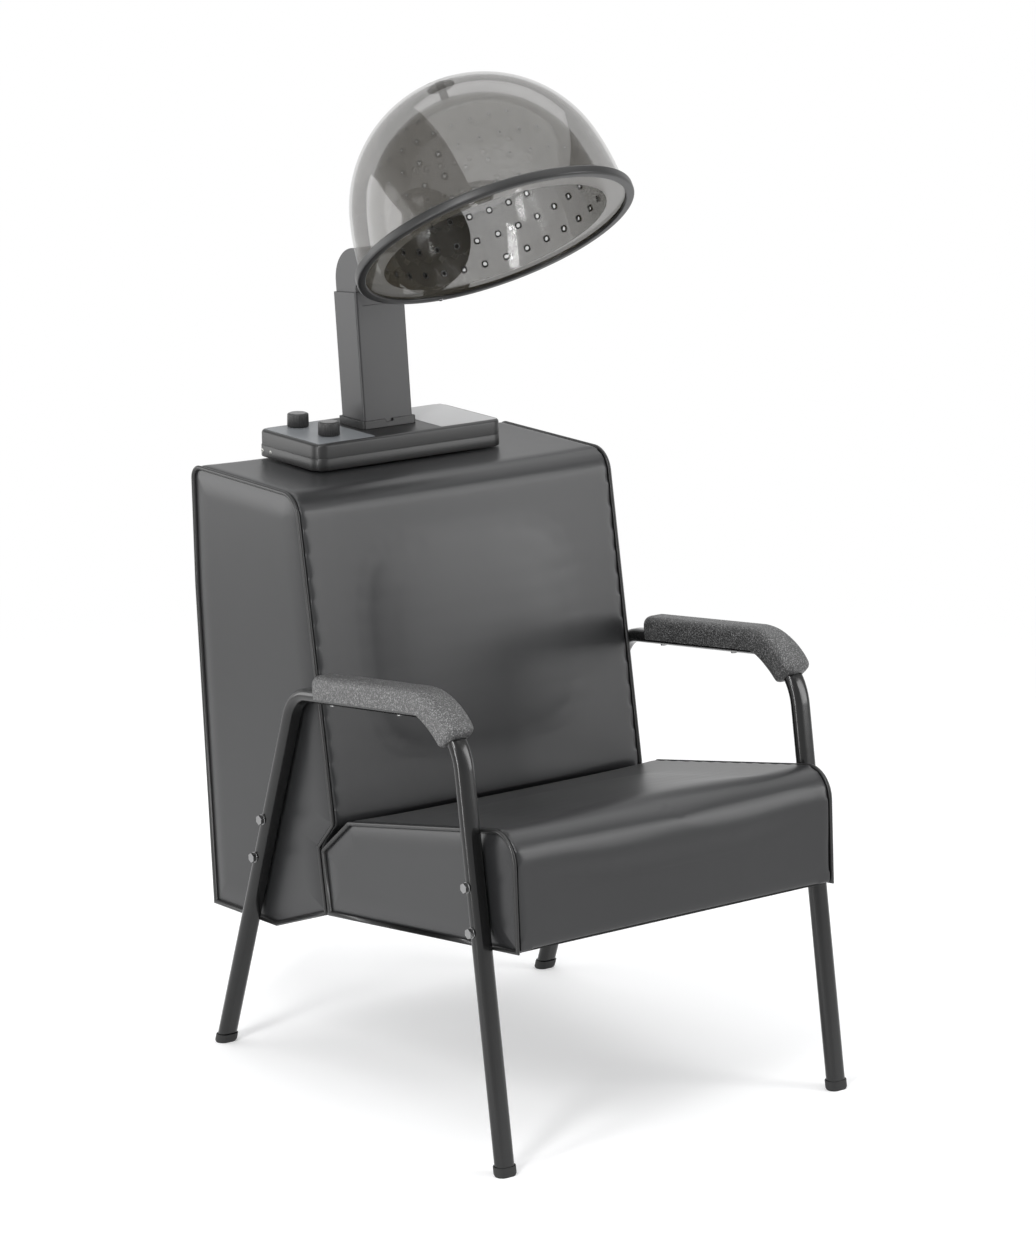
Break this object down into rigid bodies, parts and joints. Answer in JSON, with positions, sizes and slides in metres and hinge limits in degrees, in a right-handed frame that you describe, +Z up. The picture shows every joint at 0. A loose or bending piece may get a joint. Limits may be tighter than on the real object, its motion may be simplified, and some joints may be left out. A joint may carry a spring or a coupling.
{
  "type": "hooded dryer chair",
  "caption": "Upholstered salon chair on bent tube frames with padded armrests, a control base on its back and a double clear dryer hood that tilts on a telescoping arm.",
  "frame": {"origin": "on the floor, under the middle of the chair's outer box", "axes": "+Z up, the chair faces -Y, +X is at the viewer's right when seen from the front"},
  "size_m": [0.645, 0.8254, 1.4686],
  "materials": {
    "black_gloss": "gloss",
    "black_plastic": "satin",
    "black_tube": "gloss",
    "cap_grey": "satin",
    "chrome": "polished",
    "cloth": "woven",
    "column_paint": "satin",
    "control_grey": "gloss",
    "foam": "open foam",
    "friction": "matte",
    "mica": "plain",
    "pad_plastic": "fine texture",
    "piping": "satin",
    "plate_silver": "satin",
    "rubber": "satin",
    "smoke": "gloss, tinted clear",
    "smoke_clear": "gloss, tinted clear",
    "steel": "satin",
    "vinyl": "fine grain",
    "wood": "plain"
  },
  "bodies": {
    "chair": {"side_frame_left": "black_tube", "side_frame_right": "black_tube", "armrest_pad_left": "pad_plastic", "armrest_pad_right": "pad_plastic", "foot_glides": "rubber", "armrest_screws": "steel", "frame_bolts": "chrome", "frame_washers": "chrome", "seat_back_bolts": "steel", "seat_frame": "wood", "seat_cushion": "vinyl", "seat_side_left": "vinyl", "seat_side_right": "vinyl", "seat_piping_left": "piping", "seat_piping_right": "piping", "seat_underside_cover": "cloth", "back_frame": "wood", "back_cushion": "vinyl", "back_side_left": "vinyl", "back_side_right": "vinyl", "back_piping_left": "piping", "back_piping_right": "piping", "back_rear_panel": "vinyl", "back_underside_cover": "cloth", "intake_grille": "black_plastic", "air_filter": "foam", "cable_gland": "rubber", "base_tray": "black_plastic", "base_cover": "black_gloss", "control_plate": "control_grey", "side_plate": "plate_silver", "timer_body": "black_plastic", "heat_switch": "black_plastic", "column_sleeve": "column_paint", "column_collar": "black_plastic", "blower_housing": "steel", "blower_motor": "steel", "heater_element": "mica"},
    "arm": {"arm_duct": "column_paint", "hinge_pin": "steel", "friction_washers": "friction"},
    "hood": {"hood_neck": "black_plastic", "outer_dome": "smoke", "inner_dome": "smoke_clear", "rim_ring": "black_gloss", "air_plenum": "black_plastic", "crown_plug": "black_gloss"},
    "timer_knob": {"timer_knob": "black_plastic", "timer_knob_cap": "cap_grey", "timer_spindle": "steel"},
    "heat_knob": {"heat_knob": "black_plastic", "heat_knob_cap": "cap_grey", "heat_spindle": "steel"},
    "impeller": {"impeller": "black_plastic"}
  },
  "joints": [
    {"name": "arm_slide", "type": "slide", "parent": "chair", "child": "arm", "axis": [0, 0.1011, 0.9949], "range_m": [0, 0.11]},
    {"name": "hood_tilt", "type": "hinge", "parent": "arm", "child": "hood", "pos_m": [0, 0.25981, 1.16307], "axis": [1, 0, 0], "range_deg": [-10, 38]},
    {"name": "timer_turn", "type": "hinge", "parent": "chair", "child": "timer_knob", "pos_m": [-0.112, 0.37991, 0.92], "axis": [0, 0, 1], "range_deg": [-300, 0]},
    {"name": "heat_turn", "type": "hinge", "parent": "chair", "child": "heat_knob", "pos_m": [-0.112, 0.29691, 0.92], "axis": [0, 0, 1], "range_deg": [-270, 0]},
    {"name": "impeller_spin", "type": "hinge", "parent": "chair", "child": "impeller", "pos_m": [0, 0.27515, 0.76], "axis": [1, 0, 0], "continuous": true}
  ]
}
